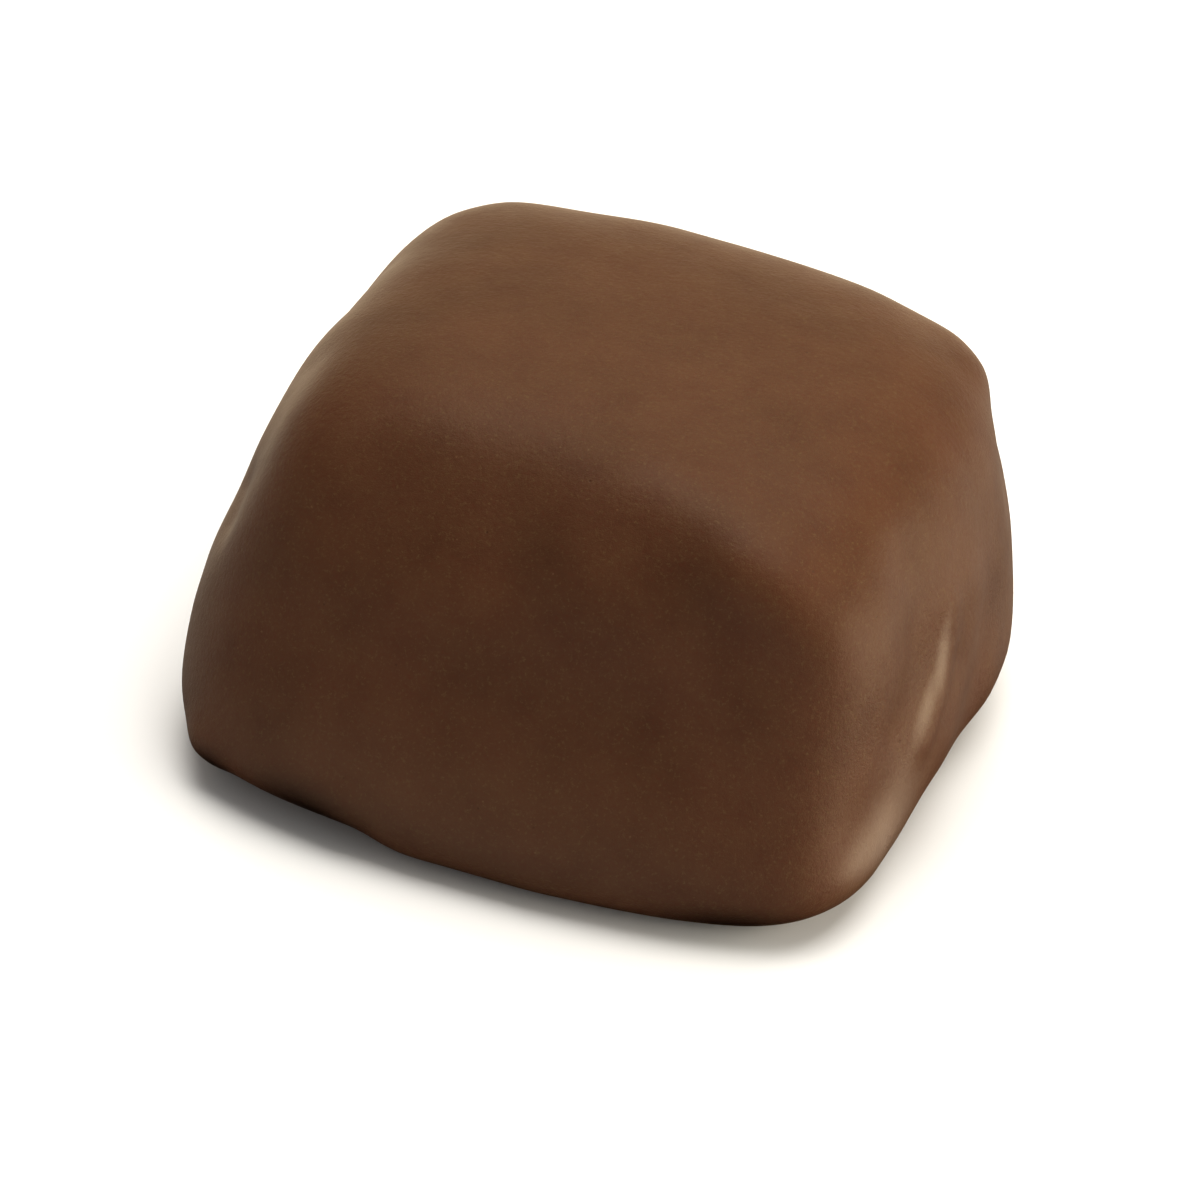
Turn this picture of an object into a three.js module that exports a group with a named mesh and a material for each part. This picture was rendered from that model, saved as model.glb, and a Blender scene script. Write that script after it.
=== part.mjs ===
// A milk chocolate square: one dipped sweet, a soft cornered block with sloping walls,
// a crowned top, a tucked-in foot and a slumped fold in the coating of its right wall.
//
// Lengths are millimetres and angles are degrees. +Z is up, +X is to the right and -Y is
// the front. The sweet stands on z = 0, with the middle of its box over the origin.

import * as THREE from 'three';
import { mergeVertices } from 'three/addons/utils/BufferGeometryUtils.js';

// ---- Driving dimensions ----------------------------------------------------------------

const NODE_NAME = 'chocolate_square';

// Every reach is measured from this middle, which lies inside the block above the table.
const MIDDLE_HEIGHT = 6.8;

// A wall faces its bearing, counted from +X towards +Y, leans back by its lean, and would be
// a flat plane at its reach from the middle if the block had sharp edges.
const WALLS = {
  right: { bearing: 1.5, lean: 5, reach: 15.3 },
  back: { bearing: 89, lean: 12, reach: 15.7 },
  left: { bearing: 180.5, lean: 9, reach: 14.9 },
  front: { bearing: 270, lean: 16, reach: 14.3 },
};

// The top tips very slightly to the right and back.
const TOP = { slopeX: 0.01, slopeY: 0.02, reach: 10.8 };

// The round underside would reach this far below the table, where the block is flat instead.
const UNDERSIDE_DEPTH = 0.9;

// The higher these are, the squarer the upright corners and the upper and lower rims.
const CORNER_SQUARENESS = 3.7;
const RIM_SQUARENESS = 4.2;

// The rounded foot meets the flat underside over this height.
const FOOT_BLEND = 0.15;

// Bulges, folds and hollows of the coating. Each moves the surface by its shift along its
// path, and the move fades away from the path over its spread.
const SWELLS = {
  nearFootCorner: { path: [[14.4, -11.4, 1.6], [13.4, -12.5, 1.6]], spread: 2.4, shift: [0.3, -0.4, 0] },
  frontFootBow: { path: [[-2, -15.2, 0.8], [2, -15.2, 0.8]], spread: 3.2, shift: [0, -0.38, 0] },
  frontLeftTuck: { path: [[-10.4, -14.2, 0.3], [-5.6, -15, 0.2]], spread: 1.7, shift: [0, 0.62, 0] },
  frontLeftFoot: { path: [[-13.2, -13.4, 1.4], [-12.2, -13.9, 1.4]], spread: 1.3, shift: [-0.05, -0.2, 0] },
  frontLeftLip: {
    path: [[-12.4, -13.2, 1.9], [-9.5, -14.4, 2.1], [-5.6, -15.2, 2.2]],
    spread: 1,
    shift: [-0.06, -0.36, 0],
  },
  nearCornerTuck: {
    path: [[13.4, -13.2, 0], [14.8, -12, 0], [15.4, -8, 0]],
    spread: 1.1,
    shift: [-0.25, 0.05, 0],
  },
  leftWallBulge: { path: [[-14.6, -8.7, 6.4], [-14.6, -7.9, 7.2]], spread: 2.4, shift: [-0.22, -0.1, 0] },
  leftWallWaist: { path: [[-13.9, -8.2, 9.4], [-13.9, -7.2, 10.2]], spread: 1.2, shift: [0.26, 0.08, 0] },
  leftRimWaist: { path: [[-12.9, -4, 14.3], [-13.4, -7.7, 11.8]], spread: 2.1, shift: [0.26, 0.05, -0.05] },
  leftRimDip: { path: [[-13.3, 2.5, 14.2], [-13.3, 4.5, 14.2]], spread: 2.3, shift: [0.25, 0, -0.1] },
  backLeftCrest: { path: [[-10.7, 9.2, 15.3], [-9.7, 10.4, 15.3]], spread: 2.5, shift: [-0.15, 0.2, 0.25] },
  backRim: {
    path: [[-2, 11.8, 15.8], [3, 11.8, 15.6], [6, 11.6, 15.2]],
    spread: 3,
    shift: [0, 0.15, 0.18],
  },
  farRightCrest: { path: [[10.5, 11.3, 14.2], [11.5, 10.5, 14.2]], spread: 1.9, shift: [0.35, 0.22, 0.22] },
  farRightWaist: { path: [[13.7, 10, 11.6], [14.1, 9.2, 10.8]], spread: 2.1, shift: [-0.36, -0.12, 0] },
  rightFarBulge: { path: [[15, 5.5, 8.5], [15.2, 4.5, 5]], spread: 3, shift: [0.16, 0, 0] },
  rightFootBulge: { path: [[15.2, 5, 2.5], [15.2, 7, 2.5]], spread: 2.4, shift: [0.28, 0, 0] },
  rightFootWaist: { path: [[15.5, -5, 2.2], [15.5, -3.4, 2.2]], spread: 2.4, shift: [-0.2, 0, 0] },
  rightHollow: {
    path: [[13.6, -4.6, 13.3], [14.3, -4.8, 11.8], [14.7, -5.4, 9.6], [14.9, -6.8, 7.4]],
    spread: 1.75,
    shift: [-0.43, 0.05, 0],
  },
  rightFold: {
    path: [[15.4, -2, 10.6], [15.6, -2.3, 9.2], [15.6, -3.3, 7.8], [15.4, -5.2, 6]],
    spread: 0.85,
    shift: [0.26, 0, 0],
  },
  nearFootFlare: { path: [[15.3, -6, 1.5], [15, -8.8, 1.5]], spread: 2.1, shift: [0.2, 0, 0] },
  nearFootWaist: { path: [[15.3, -9, 4.9], [15, -10.6, 4.7]], spread: 2, shift: [-0.35, 0, 0] },
  rightBulge: {
    path: [[15.2, 0.4, 9.6], [15.4, -0.4, 7.2], [15.4, -2.6, 4.8]],
    spread: 2.4,
    shift: [0.44, 0, 0],
  },
  nearEdge: {
    path: [[12.9, -10.6, 12], [13.6, -11.4, 9], [14.2, -11.8, 5]],
    spread: 3,
    shift: [0.27, -0.36, 0],
  },
  blobRidge: { path: [[12.9, -8.6, 13.5], [13.9, -9.4, 10.8]], spread: 2, shift: [0.12, -0.02, 0.05] },
  nearRimCorner: {
    path: [[8.5, -10.7, 14.9], [10.6, -10.6, 14.1], [12.4, -9.9, 13.2]],
    spread: 2,
    shift: [0.1, -0.3, 0.25],
  },
  frontRimHollow: {
    path: [[2.5, -11.6, 15.2], [6, -11.8, 14.6], [9.5, -11.9, 13]],
    spread: 2.2,
    shift: [0, 0.12, -0.08],
  },
  frontRimCrest: {
    path: [[3.6, -8.7, 17], [7, -9.2, 16.4], [10, -9.9, 15]],
    spread: 2.4,
    shift: [0, -0.25, 0.35],
  },
  frontHollow: { path: [[-9, -13.4, 10.2], [7, -13.4, 10.2]], spread: 4, shift: [0, 0.55, 0] },
  frontLeftSag: { path: [[-6.8, -10.8, 14.8], [-2.2, -10.9, 15.5]], spread: 2.5, shift: [0, 0.4, -0.58] },
  frontLeftHollow: { path: [[-8, -12.1, 12.9], [-1, -12.2, 13.5]], spread: 2.2, shift: [0, 0.42, -0.15] },
};

// The box whose surface grid is drawn out onto the block, and its number of cells.
const GRID_BOX = { width: 28, depth: 28, height: 17.6 };
const CELLS = { across: 30, upright: 19 };

const MILK_CHOCOLATE = { color: 0x5b3c29, roughness: 0.42, metalness: 0 };

// ---- The rounded block -----------------------------------------------------------------

function wallNormal({ bearing, lean }) {
  const turn = THREE.MathUtils.degToRad(bearing);
  const rise = THREE.MathUtils.degToRad(lean);
  const flat = Math.cos(rise);
  return new THREE.Vector3(Math.cos(turn) * flat, Math.sin(turn) * flat, Math.sin(rise));
}

const WALL_PLANES = Object.values(WALLS).map((wall) => ({
  normal: wallNormal(wall),
  reach: wall.reach,
}));
const TOP_PLANE = {
  normal: new THREE.Vector3(TOP.slopeX, TOP.slopeY, 1).normalize(),
  reach: TOP.reach,
};
const UNDERSIDE_PLANE = {
  normal: new THREE.Vector3(0, 0, -1),
  reach: MIDDLE_HEIGHT + UNDERSIDE_DEPTH,
};

// How strongly a plane cuts off a ray from the middle: 0 behind it, 1 / distance in front.
function pull(plane, direction) {
  return Math.max(0, direction.dot(plane.normal) / plane.reach);
}

// A smooth largest value: the planes meet in rounded edges instead of sharp ones.
function blendPulls(pulls, squareness) {
  const sum = pulls.reduce((total, value) => total + value ** squareness, 0);
  return sum ** (1 / squareness);
}

function reachAlong(direction) {
  const walls = blendPulls(WALL_PLANES.map((plane) => pull(plane, direction)), CORNER_SQUARENESS);
  const top = pull(TOP_PLANE, direction);
  const underside = pull(UNDERSIDE_PLANE, direction);
  return 1 / blendPulls([walls, top, underside], RIM_SQUARENESS);
}

// ---- The swells of the coating ---------------------------------------------------------

function distanceToPath(point, path) {
  const nearest = new THREE.Vector3();
  let distance = Infinity;
  for (let i = 1; i < path.length; i += 1) {
    new THREE.Line3(path[i - 1], path[i]).closestPointToPoint(point, true, nearest);
    distance = Math.min(distance, point.distanceTo(nearest));
  }
  return distance;
}

const SWELL_LIST = Object.values(SWELLS).map(({ path, spread, shift }) => ({
  path: path.map((corner) => new THREE.Vector3(...corner)),
  spread,
  shift: new THREE.Vector3(...shift),
}));

function swellAt(point) {
  const move = new THREE.Vector3();
  for (const { path, spread, shift } of SWELL_LIST) {
    const fade = Math.exp(-((distanceToPath(point, path) / spread) ** 2));
    move.addScaledVector(shift, fade);
  }
  return move;
}

// ---- The flat underside ----------------------------------------------------------------

// Heights below the table become 0, and the foot rounds into that flat without a crease.
function settledHeight(height) {
  if (height <= -FOOT_BLEND) return 0;
  if (height >= FOOT_BLEND) return height;
  return (height + FOOT_BLEND) ** 2 / (4 * FOOT_BLEND);
}

// ---- The sweet -------------------------------------------------------------------------

function drawOutPoint(gridPoint) {
  const direction = gridPoint.clone();
  direction.z += GRID_BOX.height / 2 - MIDDLE_HEIGHT;
  direction.normalize();
  const point = direction.clone().multiplyScalar(reachAlong(direction));
  point.z += MIDDLE_HEIGHT;
  point.add(swellAt(point));
  point.z = settledHeight(point.z);
  return point;
}

function chocolateGeometry() {
  const { width, depth, height } = GRID_BOX;
  const box = new THREE.BoxGeometry(
    width, depth, height, CELLS.across, CELLS.across, CELLS.upright,
  );
  box.deleteAttribute('normal');
  box.deleteAttribute('uv');
  const geometry = mergeVertices(box);
  const positions = geometry.getAttribute('position');
  const gridPoint = new THREE.Vector3();
  for (let i = 0; i < positions.count; i += 1) {
    const { x, y, z } = drawOutPoint(gridPoint.fromBufferAttribute(positions, i));
    positions.setXYZ(i, x, y, z);
  }
  geometry.computeBoundingBox();
  const middle = geometry.boundingBox.getCenter(new THREE.Vector3());
  geometry.translate(-middle.x, -middle.y, 0);
  geometry.computeVertexNormals();
  return geometry;
}

const sweet = new THREE.Group();
const block = new THREE.Mesh(
  chocolateGeometry(),
  new THREE.MeshStandardMaterial(MILK_CHOCOLATE),
);
block.name = NODE_NAME;
sweet.add(block);

export default sweet;
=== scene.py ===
"""A milk chocolate square, dipped and set, on a pale table in soft studio light.

The sweet is drawn by one Geometry Nodes tree: a grid on a box is drawn out onto a rounded
block, the coating's folds and hollows are pushed in or out along short paths, and the slow
unevenness of a hand-dipped coating is laid over it. Its sizes are millimetres and degrees.
Blender's own units are metres, so the tree ends by scaling by MILLIMETRE.
"""

import math

import bpy
from mathutils import Matrix, Vector


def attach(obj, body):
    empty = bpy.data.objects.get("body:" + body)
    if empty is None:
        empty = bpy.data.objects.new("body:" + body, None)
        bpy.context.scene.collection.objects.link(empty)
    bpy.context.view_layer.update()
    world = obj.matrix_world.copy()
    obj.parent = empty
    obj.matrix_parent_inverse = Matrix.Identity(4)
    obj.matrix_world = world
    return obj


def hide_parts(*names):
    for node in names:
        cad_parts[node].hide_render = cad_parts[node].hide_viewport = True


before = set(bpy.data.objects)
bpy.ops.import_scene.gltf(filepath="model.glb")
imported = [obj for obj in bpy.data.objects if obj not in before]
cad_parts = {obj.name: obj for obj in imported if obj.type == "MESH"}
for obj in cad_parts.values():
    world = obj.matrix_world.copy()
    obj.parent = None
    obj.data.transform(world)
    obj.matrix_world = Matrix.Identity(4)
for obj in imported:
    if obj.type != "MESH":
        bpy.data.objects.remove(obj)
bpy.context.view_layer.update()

MILLIMETRE = 0.001  # in metres
NODE = "chocolate_square"
BODY = "root"

# ---- Sizes of the sweet, in millimetres and degrees ------------------------------------------

MIDDLE_HEIGHT = 6.8
WALLS = {  # bearing from +X towards +Y, lean back from upright, reach from the middle
    "Right": {"bearing": 1.5, "lean": 5, "reach": 15.3},
    "Back": {"bearing": 89, "lean": 12, "reach": 15.7},
    "Left": {"bearing": 180.5, "lean": 9, "reach": 14.9},
    "Front": {"bearing": 270, "lean": 16, "reach": 14.3},
}
TOP_FACING = (0.01, 0.02, 1)
TOP_REACH = 10.8
UNDERSIDE_FACING = (0, 0, -1)
UNDERSIDE_DEPTH = 0.9  # how far below the table the round underside would reach
CORNER_SQUARENESS = 3.7
RIM_SQUARENESS = 4.2
FOOT_BLEND = 0.15

# Each swell moves the coating by its shift along its path, fading away over its spread.
SWELLS = {
    "Near foot corner": {
        "path": [(14.4, -11.4, 1.6), (13.4, -12.5, 1.6)],
        "spread": 2.4,
        "shift": (0.3, -0.4, 0),
    },
    "Front foot bow": {
        "path": [(-2, -15.2, 0.8), (2, -15.2, 0.8)],
        "spread": 3.2,
        "shift": (0, -0.38, 0),
    },
    "Front left tuck": {
        "path": [(-10.4, -14.2, 0.3), (-5.6, -15, 0.2)],
        "spread": 1.7,
        "shift": (0, 0.62, 0),
    },
    "Front left foot": {
        "path": [(-13.2, -13.4, 1.4), (-12.2, -13.9, 1.4)],
        "spread": 1.3,
        "shift": (-0.05, -0.2, 0),
    },
    "Front left lip": {
        "path": [(-12.4, -13.2, 1.9), (-9.5, -14.4, 2.1), (-5.6, -15.2, 2.2)],
        "spread": 1,
        "shift": (-0.06, -0.36, 0),
    },
    "Near corner tuck": {
        "path": [(13.4, -13.2, 0), (14.8, -12, 0), (15.4, -8, 0)],
        "spread": 1.1,
        "shift": (-0.25, 0.05, 0),
    },
    "Left wall bulge": {
        "path": [(-14.6, -8.7, 6.4), (-14.6, -7.9, 7.2)],
        "spread": 2.4,
        "shift": (-0.22, -0.1, 0),
    },
    "Left wall waist": {
        "path": [(-13.9, -8.2, 9.4), (-13.9, -7.2, 10.2)],
        "spread": 1.2,
        "shift": (0.26, 0.08, 0),
    },
    "Left rim waist": {
        "path": [(-12.9, -4, 14.3), (-13.4, -7.7, 11.8)],
        "spread": 2.1,
        "shift": (0.26, 0.05, -0.05),
    },
    "Left rim dip": {
        "path": [(-13.3, 2.5, 14.2), (-13.3, 4.5, 14.2)],
        "spread": 2.3,
        "shift": (0.25, 0, -0.1),
    },
    "Back left crest": {
        "path": [(-10.7, 9.2, 15.3), (-9.7, 10.4, 15.3)],
        "spread": 2.5,
        "shift": (-0.15, 0.2, 0.25),
    },
    "Back rim": {
        "path": [(-2, 11.8, 15.8), (3, 11.8, 15.6), (6, 11.6, 15.2)],
        "spread": 3,
        "shift": (0, 0.15, 0.18),
    },
    "Far right crest": {
        "path": [(10.5, 11.3, 14.2), (11.5, 10.5, 14.2)],
        "spread": 1.9,
        "shift": (0.35, 0.22, 0.22),
    },
    "Far right waist": {
        "path": [(13.7, 10, 11.6), (14.1, 9.2, 10.8)],
        "spread": 2.1,
        "shift": (-0.36, -0.12, 0),
    },
    "Right far bulge": {
        "path": [(15, 5.5, 8.5), (15.2, 4.5, 5)],
        "spread": 3,
        "shift": (0.16, 0, 0),
    },
    "Right foot bulge": {
        "path": [(15.2, 5, 2.5), (15.2, 7, 2.5)],
        "spread": 2.4,
        "shift": (0.28, 0, 0),
    },
    "Right foot waist": {
        "path": [(15.5, -5, 2.2), (15.5, -3.4, 2.2)],
        "spread": 2.4,
        "shift": (-0.2, 0, 0),
    },
    "Right hollow": {
        "path": [(13.6, -4.6, 13.3), (14.3, -4.8, 11.8), (14.7, -5.4, 9.6), (14.9, -6.8, 7.4)],
        "spread": 1.75,
        "shift": (-0.43, 0.05, 0),
    },
    "Right fold": {
        "path": [(15.4, -2, 10.6), (15.6, -2.3, 9.2), (15.6, -3.3, 7.8), (15.4, -5.2, 6)],
        "spread": 0.85,
        "shift": (0.26, 0, 0),
    },
    "Near foot flare": {
        "path": [(15.3, -6, 1.5), (15, -8.8, 1.5)],
        "spread": 2.1,
        "shift": (0.2, 0, 0),
    },
    "Near foot waist": {
        "path": [(15.3, -9, 4.9), (15, -10.6, 4.7)],
        "spread": 2,
        "shift": (-0.35, 0, 0),
    },
    "Right bulge": {
        "path": [(15.2, 0.4, 9.6), (15.4, -0.4, 7.2), (15.4, -2.6, 4.8)],
        "spread": 2.4,
        "shift": (0.44, 0, 0),
    },
    "Near edge": {
        "path": [(12.9, -10.6, 12), (13.6, -11.4, 9), (14.2, -11.8, 5)],
        "spread": 3,
        "shift": (0.27, -0.36, 0),
    },
    "Blob ridge": {
        "path": [(12.9, -8.6, 13.5), (13.9, -9.4, 10.8)],
        "spread": 2,
        "shift": (0.12, -0.02, 0.05),
    },
    "Near rim corner": {
        "path": [(8.5, -10.7, 14.9), (10.6, -10.6, 14.1), (12.4, -9.9, 13.2)],
        "spread": 2,
        "shift": (0.1, -0.3, 0.25),
    },
    "Front rim hollow": {
        "path": [(2.5, -11.6, 15.2), (6, -11.8, 14.6), (9.5, -11.9, 13)],
        "spread": 2.2,
        "shift": (0, 0.12, -0.08),
    },
    "Front rim crest": {
        "path": [(3.6, -8.7, 17), (7, -9.2, 16.4), (10, -9.9, 15)],
        "spread": 2.4,
        "shift": (0, -0.25, 0.35),
    },
    "Front hollow": {
        "path": [(-9, -13.4, 10.2), (7, -13.4, 10.2)],
        "spread": 4,
        "shift": (0, 0.55, 0),
    },
    "Front left sag": {
        "path": [(-6.8, -10.8, 14.8), (-2.2, -10.9, 15.5)],
        "spread": 2.5,
        "shift": (0, 0.4, -0.58),
    },
    "Front left hollow": {
        "path": [(-8, -12.1, 12.9), (-1, -12.2, 13.5)],
        "spread": 2.2,
        "shift": (0, 0.42, -0.15),
    },
}

# Slow waves all over the coating: height, width, finer levels and how strong those are.
UNEVENNESS = 0.12
UNEVENNESS_WIDTH = 5.0
UNEVENNESS_DETAIL = 1.0
UNEVENNESS_ROUGHNESS = 0.4
SEED = 3.0

GRID_BOX = (28, 28, 17.6)
CELLS_ACROSS = 144
CELLS_UPRIGHT = 84

# ---- Finish of the coating, in millimetres and degrees ---------------------------------------

# Noise patterns: the width of their largest patches, their levels of finer detail, and how
# strong each level is beside the one before. Cocoa and sugar grains are about 0.02 mm wide,
# too fine to show, so Grains and Sand are drawn as coarse as they need to be.
NOISES = {
    "Clouds": (3.2, 5, 0.66),
    "Tints": (1.6, 5, 0.75),
    "Grains": (0.16, 3, 0.8),
    "Dullness": (2.5, 4, 0.6),
    "Ripples": (1.6, 2, 0.6),
    "Sand": (0.3, 4, 0.8),
}

# Small round spots: their spacing, their radius and the share of them that shows.
SPOTS = {
    "Pale specks": (0.9, 0.055, 0.3),
    "Pinholes": (1.2, 0.07, 0.3),
}

# Upright marks in the right wall's coating. They fade out between two distances from their
# middle, and are noise whose heights are pressed together, so that it runs up and down.
DRAG_MARKS = {
    "middle": (14, -1.6, 12.8),
    "fade": (1.5, 4.0),
    "width": 0.35,
    "pressed": 0.06,
    "detail": 2,
    "roughness": 0.6,
}

# How high these patterns stand out of the surface where they are full.
RELIEF = {"Ripples": 0.006, "Sand": 0.038, "Pinholes": -0.012, "Drag marks": 0.025}

# The coating's tone is its base tone with these mixed in, one after another: the pattern, the
# value where it starts and where it is full, its share where it is full, and its tone.
BASE_TONE = "#3b2317"
TONES = [
    ("Clouds", 0.25, 0.75, 1.0, "#492d20"),
    ("Tints", 0.35, 0.75, 0.35, "#3f2f1d"),
    ("Grains", 0.45, 0.32, 0.48, "#442116"),
    ("Grains", 0.55, 0.68, 0.42, "#53432c"),
    ("Pale specks", 0.0, 1.0, 0.13, "#8c6f52"),
    # The Pinholes tone is painted shade in the pinholes' hollows.
    ("Pinholes", 0.0, 1.0, 0.3, "#1e110a"),
]

PAINTED_LIGHT_TONE = "#6a5544"  # pale tone for painted highlights and painted light
PAINTED_SHADE_TONE = "#0f0805"  # dark tone for painted shade under the foot

# Oval patches of the coating: the oval's middle, its turn about X, its half sizes, its tone,
# and at its middle how much of that tone shows and how glossy it is, from 0 to 1. Their tones
# are painted highlights, painted light and painted shade.
PATCHES = {
    # Painted highlights on the fold in the pale tone, over a glossier finish.
    "Upper fold": {
        "middle": (15.3, -3.5, 8.9),
        "turn": -24,
        "half": (3, 0.6, 2.6),
        "tone": PAINTED_LIGHT_TONE,
        "share": 0.12,
        "gloss": 0.36,
    },
    "Lower fold": {
        "middle": (15.3, -5.1, 7.3),
        "turn": -45,
        "half": (3, 0.6, 2.5),
        "tone": PAINTED_LIGHT_TONE,
        "share": 0.12,
        "gloss": 0.42,
    },
    # Painted highlight on the near foot in the pale tone, over a glossier finish.
    "Near foot": {
        "middle": (15.3, -9, 3),
        "turn": -72,
        "half": (3, 3, 6),
        "tone": PAINTED_LIGHT_TONE,
        "share": 0.4,
        "gloss": 0.9,
    },
    # Painted light on the lower front, in the pale tone.
    "Lower front": {
        "middle": (-2, -15.2, 3.2),
        "turn": 0,
        "half": (17, 5, 4.5),
        "tone": PAINTED_LIGHT_TONE,
        "share": 0.11,
        "gloss": 0,
    },
    # Painted shade under the foot, in these three patches.
    "Under the near corner": {
        "middle": (10.8, -14.8, 1),
        "turn": 0,
        "half": (5, 3, 1.6),
        "tone": PAINTED_SHADE_TONE,
        "share": 0.8,
        "gloss": 0,
    },
    "Under the left corner": {
        "middle": (-12, -14.5, 1.3),
        "turn": 0,
        "half": (1.8, 2.4, 1.5),
        "tone": PAINTED_SHADE_TONE,
        "share": 0.9,
        "gloss": 0,
    },
    "Under the front left lip": {
        "middle": (-7.4, -15.7, 1.4),
        "turn": 0,
        "half": (4, 2.6, 2.4),
        "tone": PAINTED_SHADE_TONE,
        "share": 0.9,
        "gloss": 0,
    },
}

# The roughness rises over this range of Dullness. Where a patch is glossy it is lower by up to
# GLOSS_SMOOTHS_BY, under a clear coat that weighs up to GLOSS_COAT.
DULLNESS_RANGE = (0.3, 0.7)
SATIN_ROUGHNESS = (0.38, 0.46)
GLOSS_SMOOTHS_BY = 0.14
GLOSS_COAT = 0.65
COAT_ROUGHNESS = 0.3
SPECULAR_LEVEL = 0.083
IOR = 1.5

# ---- The table and the light, in metres, degrees and watts -----------------------------------

TABLE_HALF_WIDTH = 3.0
TABLE_COLOUR = "#dce8ff"
TABLE_ROUGHNESS = 0.8

# Each softbox's bearing from +X towards +Y, rise, distance, width, power and colour.
SOFTBOXES = {
    "overhead": (85, 77, 0.6, 0.58, 6.3, "#ffefd4"),
    "key": (9, 6, 0.5, 0.5, 6.2, "#ffe9c2"),
    "side": (45, -6, 0.5, 0.2, 0.28, "#ffe4b6"),
    "back": (112, 6, 0.6, 0.7, 1.45, "#ffd79b"),
}

# The room's strength overhead and at the horizon, and the upward parts of a direction between
# which it turns from dark to the horizon's strength, and from that to the one overhead.
ROOM_COLOUR = "#fff0d8"
ROOM_LIGHT = 0.4
HORIZON_LIGHT = 1.12
DARK_TO_HORIZON = (-0.65, -0.3)
HORIZON_TO_ROOM = (-0.05, 0.1)

# ---- The camera, in degrees, pixels, metres and, for the sensor, millimetres -----------------

PICTURE_SIZE = 1200
PIXELS_PER_METRE = 24200  # at the sweet
SWEET_PIXEL = (618.0, 559.5)  # where the middle of the sweet shows
CAMERA_RISE = 33.0
CAMERA_TURN = 16.5
CAMERA_ROLL = 6.4
CAMERA_DISTANCE = 0.45
SENSOR_WIDTH = 36.0

# ---- Small helpers ---------------------------------------------------------------------------

# The sockets of a Mix node for colours.
MIX_SHARE, MIX_FIRST, MIX_SECOND, MIX_RESULT = 0, 6, 7, 2


def add_node(tree, kind, inputs=(), **settings):
    """Adds a node with its settings. inputs maps a socket to its value, a link or some links."""
    node = tree.nodes.new(kind)
    for name, value in settings.items():
        setattr(node, name, value)
    for key, value in dict(inputs).items():
        sources = value if isinstance(value, list) else [value]
        for source in sources:
            if isinstance(source, bpy.types.NodeSocket):
                tree.links.new(source, node.inputs[key])
            else:
                node.inputs[key].default_value = source
    return node


def added_up(tree, kind, values):
    """The sum of several values, by one node of that kind for each after the first."""
    total = values[0]
    for value in values[1:]:
        total = add_node(tree, kind, {0: total, 1: value}, operation="ADD").outputs[0]
    return total


def linear_colour(hex_colour):
    """A linear RGBA colour from an sRGB hex value such as '#6b4630'."""
    shares = [int(hex_colour[i : i + 2], 16) / 255 for i in (1, 3, 5)]
    linear = [s / 12.92 if s <= 0.04045 else ((s + 0.055) / 1.055) ** 2.4 for s in shares]
    return (*linear, 1.0)


# ---- The shape of the sweet, as Geometry Nodes -----------------------------------------------

def new_group(name, inputs, outputs):
    """A Geometry Nodes group with named sockets, and the sockets that it is given."""
    tree = bpy.data.node_groups.new(name, "GeometryNodeTree")
    for socket, (kind, value) in inputs.items():
        item = tree.interface.new_socket(socket, in_out="INPUT", socket_type=kind)
        if value is not None:
            item.default_value = value
    for socket, kind in outputs.items():
        tree.interface.new_socket(socket, in_out="OUTPUT", socket_type=kind)
    return tree, add_node(tree, "NodeGroupInput").outputs


def plane_pull_group():
    """How strongly one plane cuts off a ray from the middle, raised to the squareness."""
    tree, given = new_group(
        "Plane pull",
        {
            "Direction": ("NodeSocketVector", None),
            "Facing": ("NodeSocketVector", (0, 0, 1)),
            "Reach": ("NodeSocketFloat", 1.0),
            "Squareness": ("NodeSocketFloat", 4.0),
        },
        {"Pull": "NodeSocketFloat"},
    )
    facing = add_node(tree, "ShaderNodeVectorMath", {0: given["Facing"]}, operation="NORMALIZE")
    along = add_node(
        tree,
        "ShaderNodeVectorMath",
        {0: given["Direction"], 1: facing.outputs["Vector"]},
        operation="DOT_PRODUCT",
    )
    share = add_node(
        tree, "ShaderNodeMath", {0: along.outputs["Value"], 1: given["Reach"]}, operation="DIVIDE"
    )
    ahead = add_node(tree, "ShaderNodeMath", {0: share.outputs[0], 1: 0.0}, operation="MAXIMUM")
    raised = add_node(
        tree, "ShaderNodeMath", {0: ahead.outputs[0], 1: given["Squareness"]}, operation="POWER"
    )
    add_node(tree, "NodeGroupOutput", {"Pull": raised.outputs[0]})
    return tree


def swell_group():
    """The move of a point beside a path: the shift, fading away over the spread."""
    tree, given = new_group(
        "Coating swell",
        {
            "Path": ("NodeSocketGeometry", None),
            "Spread": ("NodeSocketFloat", 1.0),
            "Shift": ("NodeSocketVector", (0, 0, 0)),
        },
        {"Move": "NodeSocketVector"},
    )
    near = add_node(tree, "GeometryNodeProximity", {0: given["Path"]}, target_element="EDGES")
    share = add_node(
        tree,
        "ShaderNodeMath",
        {0: near.outputs["Distance"], 1: given["Spread"]},
        operation="DIVIDE",
    )
    squared = add_node(tree, "ShaderNodeMath", {0: share.outputs[0], 1: 2.0}, operation="POWER")
    falling = add_node(
        tree, "ShaderNodeMath", {0: 0.0, 1: squared.outputs[0]}, operation="SUBTRACT"
    )
    fade = add_node(tree, "ShaderNodeMath", {0: falling.outputs[0]}, operation="EXPONENT")
    move = add_node(
        tree,
        "ShaderNodeVectorMath",
        {0: given["Shift"], "Scale": fade.outputs[0]},
        operation="SCALE",
    )
    add_node(tree, "NodeGroupOutput", {"Move": move.outputs["Vector"]})
    return tree


def wall_facing(wall):
    """The outward direction of a wall that leans back."""
    turn, lean = math.radians(wall["bearing"]), math.radians(wall["lean"])
    return (math.cos(turn) * math.cos(lean), math.sin(turn) * math.cos(lean), math.sin(lean))


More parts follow.
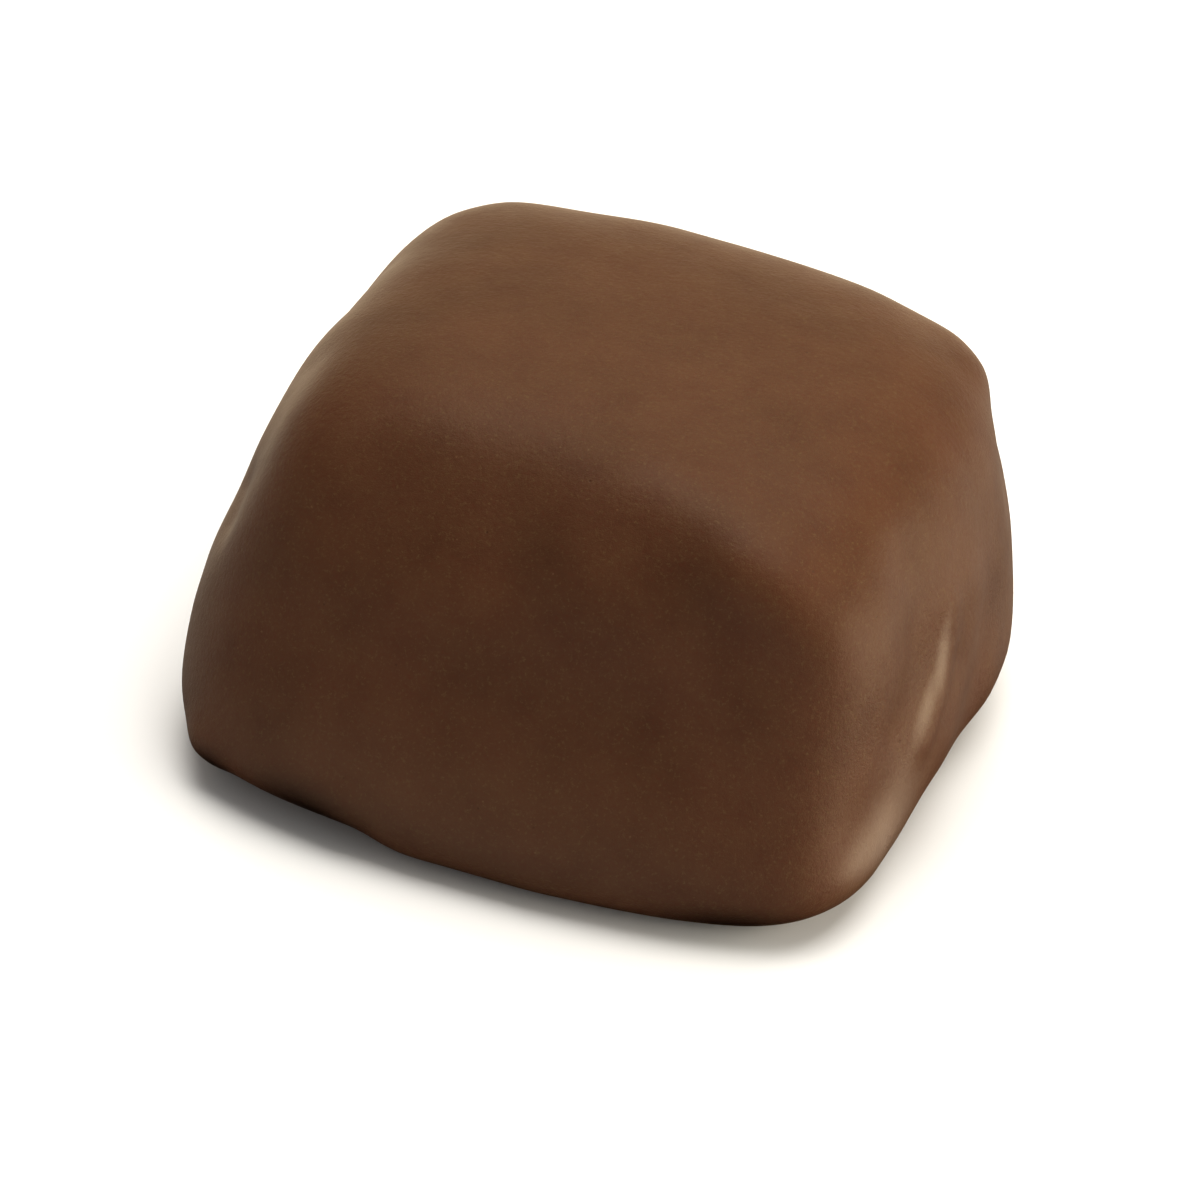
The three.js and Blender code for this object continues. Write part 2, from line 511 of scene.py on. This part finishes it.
def drawn_out(tree, given, grid):
    """Moves each grid point along its ray from the middle to where the blended planes cut it."""
    middle = add_node(tree, "ShaderNodeCombineXYZ", {"Z": given["Middle height"]})
    from_middle = add_node(
        tree,
        "ShaderNodeVectorMath",
        {0: add_node(tree, "GeometryNodeInputPosition").outputs[0], 1: middle.outputs[0]},
        operation="SUBTRACT",
    )
    direction = add_node(
        tree, "ShaderNodeVectorMath", {0: from_middle.outputs[0]}, operation="NORMALIZE"
    ).outputs["Vector"]

    corner, rim = given["Corner squareness"], given["Rim squareness"]
    planes = [
        (wall_facing(wall), given[f"{side} wall reach"], corner) for side, wall in WALLS.items()
    ]
    planes.append((TOP_FACING, given["Top reach"], rim))
    planes.append((UNDERSIDE_FACING, given["Underside reach"], rim))
    pull_group = plane_pull_group()
    *wall_pulls, top_pull, underside_pull = [
        add_node(
            tree,
            "GeometryNodeGroup",
            {"Direction": direction, "Facing": facing, "Reach": reach, "Squareness": squareness},
            node_tree=pull_group,
        ).outputs["Pull"]
        for facing, reach, squareness in planes
    ]
    rim_over_corner = add_node(tree, "ShaderNodeMath", {0: rim, 1: corner}, operation="DIVIDE")
    walls = add_node(
        tree,
        "ShaderNodeMath",
        {0: added_up(tree, "ShaderNodeMath", wall_pulls), 1: rim_over_corner.outputs[0]},
        operation="POWER",
    )
    pulls = added_up(tree, "ShaderNodeMath", [walls.outputs[0], top_pull, underside_pull])
    root = add_node(tree, "ShaderNodeMath", {0: -1.0, 1: rim}, operation="DIVIDE")
    reach = add_node(tree, "ShaderNodeMath", {0: pulls, 1: root.outputs[0]}, operation="POWER")
    point = add_node(
        tree,
        "ShaderNodeVectorMath",
        {0: direction, 1: reach.outputs[0], 2: middle.outputs[0]},
        operation="MULTIPLY_ADD",
    )
    return add_node(
        tree, "GeometryNodeSetPosition", {"Geometry": grid, "Position": point.outputs[0]}
    ).outputs["Geometry"]


def path_lines(tree, path):
    """A path of straight stretches, as mesh edges."""
    stretches = [
        add_node(
            tree,
            "GeometryNodeMeshLine",
            {"Count": 2, "Start Location": start, "Offset": end},
            mode="END_POINTS",
        ).outputs["Mesh"]
        for start, end in zip(path, path[1:])
    ]
    return add_node(tree, "GeometryNodeJoinGeometry", {0: stretches}).outputs[0]


def swollen(tree, block):
    """Pushes the coating out into its bulges and fold, and in at its hollows and waists."""
    group = swell_group()
    moves = [
        add_node(
            tree,
            "GeometryNodeGroup",
            {
                "Path": path_lines(tree, swell["path"]),
                "Spread": swell["spread"],
                "Shift": swell["shift"],
            },
            node_tree=group,
            label=name,
        ).outputs["Move"]
        for name, swell in SWELLS.items()
    ]
    return add_node(
        tree,
        "GeometryNodeSetPosition",
        {"Geometry": block, "Offset": added_up(tree, "ShaderNodeVectorMath", moves)},
    ).outputs["Geometry"]


def uneven(tree, given, coating):
    """Lays slow, shallow waves over the coating, along its normals."""
    scale = add_node(
        tree, "ShaderNodeMath", {0: 1.0, 1: given["Unevenness width"]}, operation="DIVIDE"
    )
    waves = add_node(
        tree,
        "ShaderNodeTexNoise",
        {
            "W": given["Seed"],
            "Scale": scale.outputs[0],
            "Detail": UNEVENNESS_DETAIL,
            "Roughness": UNEVENNESS_ROUGHNESS,
        },
        noise_dimensions="4D",
    )
    about_zero = add_node(
        tree, "ShaderNodeMath", {0: waves.outputs[0], 1: 0.5}, operation="SUBTRACT"
    )
    height = add_node(
        tree,
        "ShaderNodeMath",
        {0: about_zero.outputs[0], 1: given["Unevenness"]},
        operation="MULTIPLY",
    )
    offset = add_node(
        tree,
        "ShaderNodeVectorMath",
        {0: add_node(tree, "GeometryNodeInputNormal").outputs[0], "Scale": height.outputs[0]},
        operation="SCALE",
    )
    return add_node(
        tree, "GeometryNodeSetPosition", {"Geometry": coating, "Offset": offset.outputs[0]}
    ).outputs["Geometry"]


def settled(tree, given, coating):
    """Flattens what is below the table onto it, and rounds the foot into that flat."""
    position = add_node(tree, "GeometryNodeInputPosition")
    parts = add_node(tree, "ShaderNodeSeparateXYZ", {0: position.outputs[0]})
    up, blend = parts.outputs["Z"], given["Foot blend"]
    twice = add_node(tree, "ShaderNodeMath", {0: blend, 1: 2.0}, operation="MULTIPLY")
    four_times = add_node(tree, "ShaderNodeMath", {0: blend, 1: 4.0}, operation="MULTIPLY")
    over = add_node(tree, "ShaderNodeMath", {0: up, 1: blend}, operation="ADD")
    within = add_node(
        tree,
        "ShaderNodeClamp",
        {"Value": over.outputs[0], "Min": 0.0, "Max": twice.outputs[0]},
    )
    squared = add_node(tree, "ShaderNodeMath", {0: within.outputs[0], 1: 2.0}, operation="POWER")
    curve = add_node(
        tree,
        "ShaderNodeMath",
        {0: squared.outputs[0], 1: four_times.outputs[0]},
        operation="DIVIDE",
    )
    above = add_node(tree, "ShaderNodeMath", {0: up, 1: blend}, operation="SUBTRACT")
    straight = add_node(tree, "ShaderNodeMath", {0: above.outputs[0], 1: 0.0}, operation="MAXIMUM")
    height = add_node(
        tree, "ShaderNodeMath", {0: curve.outputs[0], 1: straight.outputs[0]}, operation="ADD"
    )
    place = add_node(
        tree,
        "ShaderNodeCombineXYZ",
        {"X": parts.outputs["X"], "Y": parts.outputs["Y"], "Z": height.outputs[0]},
    )
    return add_node(
        tree, "GeometryNodeSetPosition", {"Geometry": coating, "Position": place.outputs[0]}
    ).outputs["Geometry"]


def centred(tree, given, sweet):
    """Moves the middle of the sweet's box over the origin, and scales it to metres."""
    box = add_node(tree, "GeometryNodeBoundBox", {0: sweet})
    corners = add_node(
        tree,
        "ShaderNodeVectorMath",
        {0: box.outputs["Min"], 1: box.outputs["Max"]},
        operation="ADD",
    )
    back = add_node(
        tree,
        "ShaderNodeVectorMath",
        {0: corners.outputs[0], 1: (-0.5, -0.5, 0)},
        operation="MULTIPLY",
    )
    moved = add_node(
        tree, "GeometryNodeTransform", {"Geometry": sweet, "Translation": back.outputs[0]}
    )
    scale = given["Scale"]
    scale_vector = add_node(tree, "ShaderNodeCombineXYZ", {"X": scale, "Y": scale, "Z": scale})
    return add_node(
        tree,
        "GeometryNodeTransform",
        {"Geometry": moved.outputs[0], "Scale": scale_vector.outputs[0]},
    ).outputs[0]


def sweet_tree(sizes, coating_material):
    """The whole sweet, from a box grid to the finished, centred mesh."""
    tree, given = new_group("Chocolate square", sizes, {"Geometry": "NodeSocketGeometry"})
    grid = add_node(
        tree,
        "GeometryNodeMeshCube",
        {
            "Size": given["Grid box"],
            "Vertices X": given["Points across"],
            "Vertices Y": given["Points across"],
            "Vertices Z": given["Points upright"],
        },
    )
    half_up = add_node(
        tree, "ShaderNodeVectorMath", {0: given["Grid box"], 1: (0, 0, 0.5)}, operation="MULTIPLY"
    )
    standing = add_node(
        tree,
        "GeometryNodeTransform",
        {"Geometry": grid.outputs["Mesh"], "Translation": half_up.outputs[0]},
    )
    block = drawn_out(tree, given, standing.outputs[0])
    coating = uneven(tree, given, swollen(tree, block))
    sweet = centred(tree, given, settled(tree, given, coating))
    smooth = add_node(tree, "GeometryNodeSetShadeSmooth", {"Geometry": sweet})
    realized = add_node(tree, "GeometryNodeRealizeInstances", {"Geometry": smooth.outputs[0]})
    finished = add_node(
        tree,
        "GeometryNodeSetMaterial",
        {"Geometry": realized.outputs[0], "Material": coating_material},
    )
    add_node(tree, "NodeGroupOutput", {"Geometry": finished.outputs[0]})
    return tree


def plain_mesh_piece(name, tree, values):
    """An object whose mesh is what the tree makes with those input values, and no modifier."""
    piece = bpy.data.objects.new(name, bpy.data.meshes.new(name))
    bpy.context.scene.collection.objects.link(piece)
    modifier = piece.modifiers.new("Shape", "NODES")
    modifier.node_group = tree
    for item in tree.interface.items_tree:
        if item.in_out == "INPUT":
            modifier[item.identifier] = values[item.name]
    depsgraph = bpy.context.evaluated_depsgraph_get()
    mesh = bpy.data.meshes.new_from_object(piece.evaluated_get(depsgraph))
    piece.modifiers.remove(modifier)
    mesh.materials.pop(index=0)  # the empty slot that a new mesh starts with
    piece.data = mesh
    mesh.name = name
    return piece


def make_sweet(coating_material):
    """The dipped square, standing on the table with its box centred over the origin."""
    values = {
        "Grid box": GRID_BOX,
        "Points across": CELLS_ACROSS + 1,
        "Points upright": CELLS_UPRIGHT + 1,
        "Middle height": MIDDLE_HEIGHT,
        "Top reach": TOP_REACH,
        "Underside reach": MIDDLE_HEIGHT + UNDERSIDE_DEPTH,
        "Corner squareness": CORNER_SQUARENESS,
        "Rim squareness": RIM_SQUARENESS,
        "Foot blend": FOOT_BLEND,
        "Unevenness": UNEVENNESS,
        "Unevenness width": UNEVENNESS_WIDTH,
        "Seed": SEED,
        "Scale": MILLIMETRE,
    }
    values.update({f"{side} wall reach": float(wall["reach"]) for side, wall in WALLS.items()})
    kinds = {tuple: "NodeSocketVector", int: "NodeSocketInt", float: "NodeSocketFloat"}
    sizes = {name: (kinds[type(value)], value) for name, value in values.items()}
    return plain_mesh_piece("dipped_square", sweet_tree(sizes, coating_material), values)


# ---- The coating's patterns, each from 0 to 1 ------------------------------------------------

def noise_patterns(tree, place):
    """The cloudy and grainy noises."""
    return {
        name: add_node(
            tree,
            "ShaderNodeTexNoise",
            {"Vector": place, "Scale": 1 / width, "Detail": detail, "Roughness": roughness},
            label=name,
        ).outputs[0]
        for name, (width, detail, roughness) in NOISES.items()
    }


def spot_patterns(tree, place):
    """Small round spots, scattered one to a cell, of which only a share shows."""
    patterns = {}
    for name, (spacing, radius, kept) in SPOTS.items():
        cells = add_node(tree, "ShaderNodeTexVoronoi", {"Vector": place, "Scale": 1 / spacing})
        edge = radius / spacing
        spot = add_node(
            tree,
            "ShaderNodeMapRange",
            {"Value": cells.outputs["Distance"], "From Min": edge, "From Max": edge / 2},
        )
        lot = add_node(tree, "ShaderNodeSeparateColor", {0: cells.outputs["Color"]})
        chosen = add_node(
            tree, "ShaderNodeMath", {0: lot.outputs[0], 1: kept}, operation="LESS_THAN"
        )
        patterns[name] = add_node(
            tree,
            "ShaderNodeMath",
            {0: spot.outputs[0], 1: chosen.outputs[0]},
            operation="MULTIPLY",
            label=name,
        ).outputs[0]
    return patterns


def drag_mark_pattern(tree, place):
    """Fine upright lines round one place on the right wall."""
    pressed = add_node(
        tree,
        "ShaderNodeVectorMath",
        {0: place, 1: (1, 1, DRAG_MARKS["pressed"])},
        operation="MULTIPLY",
    )
    lines = add_node(
        tree,
        "ShaderNodeTexNoise",
        {
            "Vector": pressed.outputs[0],
            "Scale": 1 / DRAG_MARKS["width"],
            "Detail": DRAG_MARKS["detail"],
            "Roughness": DRAG_MARKS["roughness"],
        },
    )
    away = add_node(
        tree, "ShaderNodeVectorMath", {0: place, 1: DRAG_MARKS["middle"]}, operation="DISTANCE"
    )
    full_within, gone_beyond = DRAG_MARKS["fade"]
    near = add_node(
        tree,
        "ShaderNodeMapRange",
        {"Value": away.outputs["Value"], "From Min": gone_beyond, "From Max": full_within},
    )
    marks = add_node(
        tree, "ShaderNodeMath", {0: lines.outputs[0], 1: near.outputs[0]}, operation="MULTIPLY"
    )
    return {"Drag marks": marks.outputs[0]}


def patch_patterns(tree, place):
    """1 at the middle of each oval patch, falling smoothly to 0 at its edge."""
    patterns = {}
    for name, patch in PATCHES.items():
        oval = add_node(
            tree,
            "ShaderNodeMapping",
            {
                "Vector": place,
                "Location": patch["middle"],
                "Rotation": (math.radians(patch["turn"]), 0, 0),
                "Scale": patch["half"],
            },
            vector_type="TEXTURE",
        )
        away = add_node(tree, "ShaderNodeVectorMath", {0: oval.outputs[0]}, operation="LENGTH")
        patterns[name] = add_node(
            tree,
            "ShaderNodeMapRange",
            {"Value": away.outputs["Value"], "To Min": 1.0, "To Max": 0.0},
            interpolation_type="SMOOTHSTEP",
            label=name,
        ).outputs[0]
    return patterns


# ---- Materials -------------------------------------------------------------------------------

def coating_tone(tree, patterns):
    """The base tone, with every other tone mixed in where its pattern shows."""
    # The patches' tones are painted highlights, painted light and painted shade.
    patch_tones = [
        (name, 0.0, 1.0, patch["share"], patch["tone"]) for name, patch in PATCHES.items()
    ]
    tone = linear_colour(BASE_TONE)
    for name, start, full, share, colour in TONES + patch_tones:
        shown = add_node(
            tree,
            "ShaderNodeMapRange",
            {"Value": patterns[name], "From Min": start, "From Max": full, "To Max": share},
        )
        tone = add_node(
            tree,
            "ShaderNodeMix",
            {MIX_SHARE: shown.outputs[0], MIX_FIRST: tone, MIX_SECOND: linear_colour(colour)},
            data_type="RGBA",
        ).outputs[MIX_RESULT]
    return tone


def coating_relief(tree, patterns):
    """The height of the coating's fine relief, in metres."""
    height = 0.0
    for name, depth in RELIEF.items():
        height = add_node(
            tree,
            "ShaderNodeMath",
            {0: patterns[name], 1: depth * MILLIMETRE, 2: height},
            operation="MULTIPLY_ADD",
        ).outputs[0]
    return height


def coating_gloss(tree, patterns):
    """How glossy the coating is: 0 nearly everywhere, and more in the patches on the fold and near
    foot.
    """
    gloss = 0.0
    for name, patch in PATCHES.items():
        if patch["gloss"]:
            gloss = add_node(
                tree,
                "ShaderNodeMath",
                {0: patterns[name], 1: patch["gloss"], 2: gloss},
                operation="MULTIPLY_ADD",
                use_clamp=True,
            ).outputs[0]
    return gloss


def milk_chocolate():
    """Tempered milk chocolate couverture, dipped and air set.

    It gives the eye a satin brown skin with soft cloudy patches, a fine sandy grain that shows
    in the highlights, a few pale specks, pinholes darkened with painted shade, faint drag marks
    on the right wall, a glossier fold and near foot with painted highlights, painted light on
    the lower front, and painted shade under the lip, the left corner and the near corner.
    """
    material = bpy.data.materials.new("Tempered milk chocolate")
    material.use_nodes = True
    tree = material.node_tree
    metres = add_node(tree, "ShaderNodeTexCoord").outputs["Object"]
    place = add_node(
        tree, "ShaderNodeVectorMath", {0: metres, "Scale": 1 / MILLIMETRE}, operation="SCALE"
    ).outputs[0]
    patterns = {}
    for make_patterns in (noise_patterns, spot_patterns, drag_mark_pattern, patch_patterns):
        patterns.update(make_patterns(tree, place))

    bump = add_node(
        tree, "ShaderNodeBump", {"Height": coating_relief(tree, patterns), "Distance": 1.0}
    )
    dullness = add_node(
        tree,
        "ShaderNodeMapRange",
        {
            "Value": patterns["Dullness"],
            "From Min": DULLNESS_RANGE[0],
            "From Max": DULLNESS_RANGE[1],
            "To Min": SATIN_ROUGHNESS[0],
            "To Max": SATIN_ROUGHNESS[1],
        },
    )
    gloss = coating_gloss(tree, patterns)
    roughness = add_node(
        tree,
        "ShaderNodeMath",
        {0: gloss, 1: -GLOSS_SMOOTHS_BY, 2: dullness.outputs[0]},
        operation="MULTIPLY_ADD",
    )
    coat = add_node(tree, "ShaderNodeMath", {0: gloss, 1: GLOSS_COAT}, operation="MULTIPLY")

    shader = tree.nodes["Principled BSDF"]
    tree.links.new(coating_tone(tree, patterns), shader.inputs["Base Color"])
    tree.links.new(bump.outputs[0], shader.inputs["Normal"])
    tree.links.new(roughness.outputs[0], shader.inputs["Roughness"])
    tree.links.new(coat.outputs[0], shader.inputs["Coat Weight"])
    shader.inputs["Coat Roughness"].default_value = COAT_ROUGHNESS
    shader.inputs["Specular IOR Level"].default_value = SPECULAR_LEVEL
    shader.inputs["IOR"].default_value = IOR
    return material


def white_laminate():
    """A matt white laminate table top, which shows no gloss."""
    material = bpy.data.materials.new("Matt white laminate")
    material.use_nodes = True
    shader = material.node_tree.nodes["Principled BSDF"]
    shader.inputs["Base Color"].default_value = linear_colour(TABLE_COLOUR)
    shader.inputs["Roughness"].default_value = TABLE_ROUGHNESS
    return material


# ---- Stage, light and camera -----------------------------------------------------------------

def make_table():
    """A table top far wider than the picture."""
    half = TABLE_HALF_WIDTH
    mesh = bpy.data.meshes.new("table_top")
    corners = [(-half, -half, 0), (half, -half, 0), (half, half, 0), (-half, half, 0)]
    mesh.from_pydata(corners, [], [(0, 1, 2, 3)])
    mesh.materials.append(white_laminate())
    table = bpy.data.objects.new("table_top", mesh)
    bpy.context.scene.collection.objects.link(table)
    table.visible_glossy = False  # the coating mirrors the room and the lights only


def make_softbox(name, bearing, rise, distance, width, power, colour):
    """A square soft light that shines at the sweet from its bearing and rise."""
    light = bpy.data.lights.new(name, "AREA")
    light.size = width
    light.energy = power
    light.color = linear_colour(colour)[:3]
    box = bpy.data.objects.new(name, light)
    bpy.context.scene.collection.objects.link(box)
    box.visible_camera = False
    turn, up = math.radians(bearing), math.radians(rise)
    out = Vector((math.cos(turn) * math.cos(up), math.sin(turn) * math.cos(up), math.sin(up)))
    aim = Vector((0, 0, MIDDLE_HEIGHT * MILLIMETRE))
    box.location = out * distance
    box.rotation_euler = (aim - box.location).to_track_quat("-Z", "Y").to_euler()


def make_room():
    """A pale room, brightest at the table's height, dim overhead and dark far below it."""
    world = bpy.data.worlds.new("Studio")
    bpy.context.scene.world = world
    world.use_nodes = True
    tree = world.node_tree
    sight = add_node(tree, "ShaderNodeTexCoord")
    direction = add_node(tree, "ShaderNodeSeparateXYZ", {0: sight.outputs["Generated"]})
    above_dark = add_node(
        tree,
        "ShaderNodeMapRange",
        {
            "Value": direction.outputs["Z"],
            "From Min": HORIZON_TO_ROOM[0],
            "From Max": HORIZON_TO_ROOM[1],
            "To Min": HORIZON_LIGHT,
            "To Max": ROOM_LIGHT,
        },
        interpolation_type="SMOOTHSTEP",
    )
    strength = add_node(
        tree,
        "ShaderNodeMapRange",
        {
            "Value": direction.outputs["Z"],
            "From Min": DARK_TO_HORIZON[0],
            "From Max": DARK_TO_HORIZON[1],
            "To Max": above_dark.outputs[0],
        },
        interpolation_type="SMOOTHSTEP",
    )
    room = tree.nodes["Background"]
    room.inputs["Color"].default_value = linear_colour(ROOM_COLOUR)
    tree.links.new(strength.outputs[0], room.inputs["Strength"])


def make_light():
    """The room, a broad light overhead, two low ones on the right and a weak one behind."""
    for name, settings in SOFTBOXES.items():
        make_softbox(name, *settings)
    make_room()


def make_camera():
    """The picture's view: a long lens, from above and a little to the right, rolled slightly."""
    turn, rise = math.radians(CAMERA_TURN), math.radians(CAMERA_RISE)
    roll = math.radians(CAMERA_ROLL)
    back = Vector(
        (math.sin(turn) * math.cos(rise), -math.cos(turn) * math.cos(rise), math.sin(rise))
    )
    level_right = Vector((math.cos(turn), math.sin(turn), 0))
    level_up = back.cross(level_right)
    right = level_right * math.cos(roll) + level_up * math.sin(roll)
    up = level_up * math.cos(roll) - level_right * math.sin(roll)

    aside = (SWEET_PIXEL[0] - PICTURE_SIZE / 2) / PIXELS_PER_METRE
    down = (SWEET_PIXEL[1] - PICTURE_SIZE / 2) / PIXELS_PER_METRE
    aim = Vector((0, 0, MIDDLE_HEIGHT * MILLIMETRE)) - right * aside + up * down

    lens = bpy.data.cameras.new("picture_camera")
    lens.sensor_width = SENSOR_WIDTH
    lens.lens = SENSOR_WIDTH * CAMERA_DISTANCE * PIXELS_PER_METRE / PICTURE_SIZE
    camera = bpy.data.objects.new("picture_camera", lens)
    bpy.context.scene.collection.objects.link(camera)
    facing = Matrix((right, up, back)).transposed()
    camera.matrix_world = Matrix.Translation(aim + back * CAMERA_DISTANCE) @ facing.to_4x4()
    bpy.context.scene.camera = camera


make_camera()
make_table()
make_light()
bpy.context.scene.view_settings.view_transform = "Standard"

sweet = make_sweet(milk_chocolate())
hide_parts(NODE)
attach(sweet, BODY)
